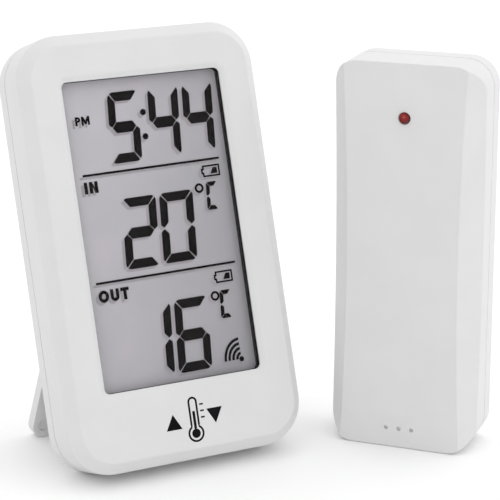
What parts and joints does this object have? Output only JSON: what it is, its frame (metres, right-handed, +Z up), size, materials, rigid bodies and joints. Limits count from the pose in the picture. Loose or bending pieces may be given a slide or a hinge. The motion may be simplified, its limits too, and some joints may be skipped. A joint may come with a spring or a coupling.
{
  "type": "maximum minimum thermometer",
  "caption": "Digital maximum minimum thermometer: a console with a grey display that leans on a folding rear stand, and a slim upright wireless sensor that sends it the outdoor temperature.",
  "frame": {"origin": "middle of the flat strip that the console stands on, on the surface under it", "axes": "+Z up; +X to the right across the console's face; the display faces -Y; the sensor stands on the +X side"},
  "size_m": [0.11, 0.0689, 0.1052],
  "materials": {
    "console_white": "satin moulded ABS, fine even texture",
    "sensor_white": "satin moulded ABS, fine even texture",
    "button_white": "satin moulded ABS",
    "inner_white": "plain moulded inner part",
    "clear_window": "clear acrylic sheet",
    "lcd_glass": "grey reflective liquid crystal cell",
    "black_gasket": "matt black foam",
    "contact_rubber": "layered conductive rubber",
    "circuit_board": "green solder mask",
    "black_resin": "cast black resin",
    "metal_can": "bright pressed can",
    "copper_wire": "enamelled copper wire",
    "probe_bead": "dipped bead on tinned leads",
    "switch_plastic": "moulded black plastic",
    "steel_screw": "zinc plated",
    "battery_jacket": "printed steel jacket, plain, bare nub",
    "spring_steel": "nickel plated wire",
    "contact_plate": "nickel plated strip",
    "led_red": "red tinted epoxy lens"
  },
  "bodies": {
    "console": {"front_case": "console_white", "rear_case": "console_white", "display_window": "clear_window", "lcd_gasket": "black_gasket", "lcd_panel": "lcd_glass", "lcd_holder": "inner_white", "zebra_strip": "contact_rubber", "main_board": "circuit_board", "chip_blob": "black_resin", "clock_crystal": "metal_can", "receiver_module": "circuit_board", "receiver_antenna": "copper_wire", "indoor_probe": "probe_bead", "button_switches": "switch_plastic", "board_screws": "steel_screw", "case_screws": "steel_screw", "batteries": "battery_jacket", "battery_springs": "spring_steel", "battery_plates": "contact_plate"},
    "stand": {"stand": "console_white"},
    "battery_door": {"battery_door": "console_white"},
    "memory_button": {"memory_button": "button_white"},
    "clock_button": {"clock_button": "button_white"},
    "unit_button": {"unit_button": "button_white"},
    "channel_button": {"channel_button": "button_white"},
    "sensor": {"sensor_front_case": "sensor_white", "sensor_rear_case": "sensor_white", "sensor_led": "led_red", "sensor_board": "circuit_board", "sensor_chip": "black_resin", "sensor_crystal": "metal_can", "sensor_transmitter": "circuit_board", "sensor_antenna": "copper_wire", "sensor_probe": "probe_bead", "sensor_switches": "switch_plastic", "sensor_board_screws": "steel_screw", "sensor_case_screws": "steel_screw", "sensor_batteries": "battery_jacket", "sensor_springs": "spring_steel", "sensor_plates": "contact_plate"},
    "sensor_door": {"sensor_door": "sensor_white"},
    "sensor_channel_knob": {"sensor_channel_knob": "switch_plastic"},
    "sensor_link_button": {"sensor_link_button": "button_white"}
  },
  "joints": [
    {"name": "stand_fold", "type": "hinge", "parent": "console", "child": "stand", "pos_m": [0, 0.02518, 0.06706], "axis": [-1, 0, 0], "range_deg": [0, 20.8]},
    {"name": "battery_door_slide", "type": "slide", "parent": "console", "child": "battery_door", "axis": [0, 0.305, 0.9523], "range_m": [0, 0.008]},
    {"name": "memory_button_press", "type": "slide", "parent": "console", "child": "memory_button", "axis": [0, -0.9523, 0.305], "range_m": [0, 0.0008], "stiffness_N_per_m": 200},
    {"name": "clock_button_press", "type": "slide", "parent": "console", "child": "clock_button", "axis": [0, -0.9523, 0.305], "range_m": [0, 0.0008], "stiffness_N_per_m": 200},
    {"name": "unit_button_press", "type": "slide", "parent": "console", "child": "unit_button", "axis": [0, -0.9523, 0.305], "range_m": [0, 0.0008], "stiffness_N_per_m": 200},
    {"name": "channel_button_press", "type": "slide", "parent": "console", "child": "channel_button", "axis": [0, -0.9523, 0.305], "range_m": [0, 0.0008], "stiffness_N_per_m": 200},
    {"name": "sensor_placement", "type": "slide", "parent": "console", "child": "sensor", "axis": [1, 0, 0], "range_m": [0, 0.08]},
    {"name": "sensor_door_swing", "type": "hinge", "parent": "sensor", "child": "sensor_door", "pos_m": [0.06528, -0.01037, 0.001], "axis": [-0.6704, 0.742, 0], "range_deg": [0, 90]},
    {"name": "sensor_channel_slide", "type": "slide", "parent": "sensor", "child": "sensor_channel_knob", "axis": [0.6704, -0.742, 0], "range_m": [0, 0.004]},
    {"name": "sensor_link_press", "type": "slide", "parent": "sensor", "child": "sensor_link_button", "axis": [-0.742, -0.6704, 0], "range_m": [0, 0.0005], "stiffness_N_per_m": 200}
  ]
}
